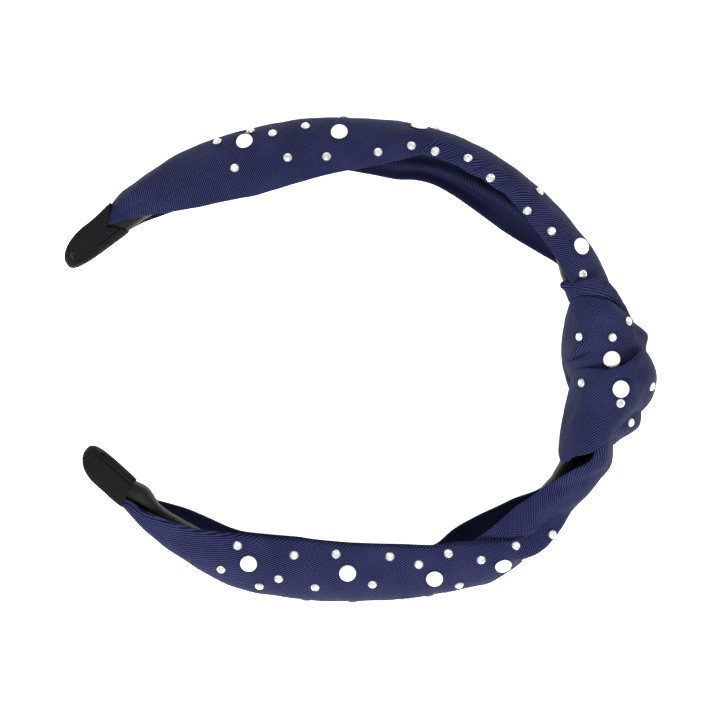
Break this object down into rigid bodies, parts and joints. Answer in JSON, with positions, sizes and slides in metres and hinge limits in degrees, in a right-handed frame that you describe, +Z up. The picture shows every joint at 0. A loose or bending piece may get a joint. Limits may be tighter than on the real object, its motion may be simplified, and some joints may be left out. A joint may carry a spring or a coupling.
{
  "type": "knotted headband",
  "caption": "Knotted fabric headband: a spring hoop in a satin sleeve under a folded twill strap tied in a knot, with ribbed tip covers, half pearls and rhinestones.",
  "frame": {"origin": "centre of the outline, on the surface that the band lies on, on its edge", "axes": "+Z up, along the band's width; +X from the open end to the knot; +Y towards the arm that the picture shows on top"},
  "size_m": [0.1536, 0.1249, 0.0334],
  "materials": {
    "hoop_plastic": "matte grey spring plastic, hidden in the sleeve",
    "black_satin": "black satin with a soft sheen",
    "ribbed_tape": "black ribbed grosgrain tape",
    "navy_twill": "navy polyester twill, fine diagonal weave",
    "pearl": "white half pearls, satin gloss",
    "crystal": "clear faceted rhinestones with a silvered back"
  },
  "bodies": {
    "root": {"hoop_core": "hoop_plastic", "hoop_sleeve": "black_satin", "tip_cover_upper": "ribbed_tape", "tip_cover_lower": "ribbed_tape", "strap_upper": "navy_twill", "strap_lower": "navy_twill", "knot_band_over": "navy_twill", "knot_band_under": "navy_twill", "knot_collar_upper": "navy_twill", "knot_collar_lower": "navy_twill", "pearl_upper_1": "pearl", "pearl_upper_2": "pearl", "pearl_upper_3": "pearl", "pearl_upper_4": "pearl", "pearl_lower_1": "pearl", "pearl_lower_2": "pearl", "pearl_lower_3": "pearl", "pearl_lower_4": "pearl", "pearl_knot_1": "pearl", "pearl_knot_2": "pearl", "pearl_knot_3": "pearl", "rhinestone_upper_1": "crystal", "rhinestone_upper_2": "crystal", "rhinestone_upper_3": "crystal", "rhinestone_upper_4": "crystal", "rhinestone_upper_5": "crystal", "rhinestone_upper_6": "crystal", "rhinestone_upper_7": "crystal", "rhinestone_upper_8": "crystal", "rhinestone_upper_9": "crystal", "rhinestone_upper_10": "crystal", "rhinestone_upper_11": "crystal", "rhinestone_upper_12": "crystal", "rhinestone_upper_13": "crystal", "rhinestone_upper_14": "crystal", "rhinestone_upper_15": "crystal", "rhinestone_upper_16": "crystal", "rhinestone_lower_1": "crystal", "rhinestone_lower_2": "crystal", "rhinestone_lower_3": "crystal", "rhinestone_lower_4": "crystal", "rhinestone_lower_5": "crystal", "rhinestone_lower_6": "crystal", "rhinestone_lower_7": "crystal", "rhinestone_lower_8": "crystal", "rhinestone_lower_9": "crystal", "rhinestone_lower_10": "crystal", "rhinestone_lower_11": "crystal", "rhinestone_lower_12": "crystal", "rhinestone_lower_13": "crystal", "rhinestone_lower_14": "crystal", "rhinestone_lower_15": "crystal", "rhinestone_lower_16": "crystal", "rhinestone_knot_1": "crystal", "rhinestone_knot_2": "crystal", "rhinestone_knot_3": "crystal", "rhinestone_knot_4": "crystal", "rhinestone_knot_5": "crystal", "rhinestone_knot_6": "crystal", "rhinestone_knot_7": "crystal"}
  },
  "joints": []
}
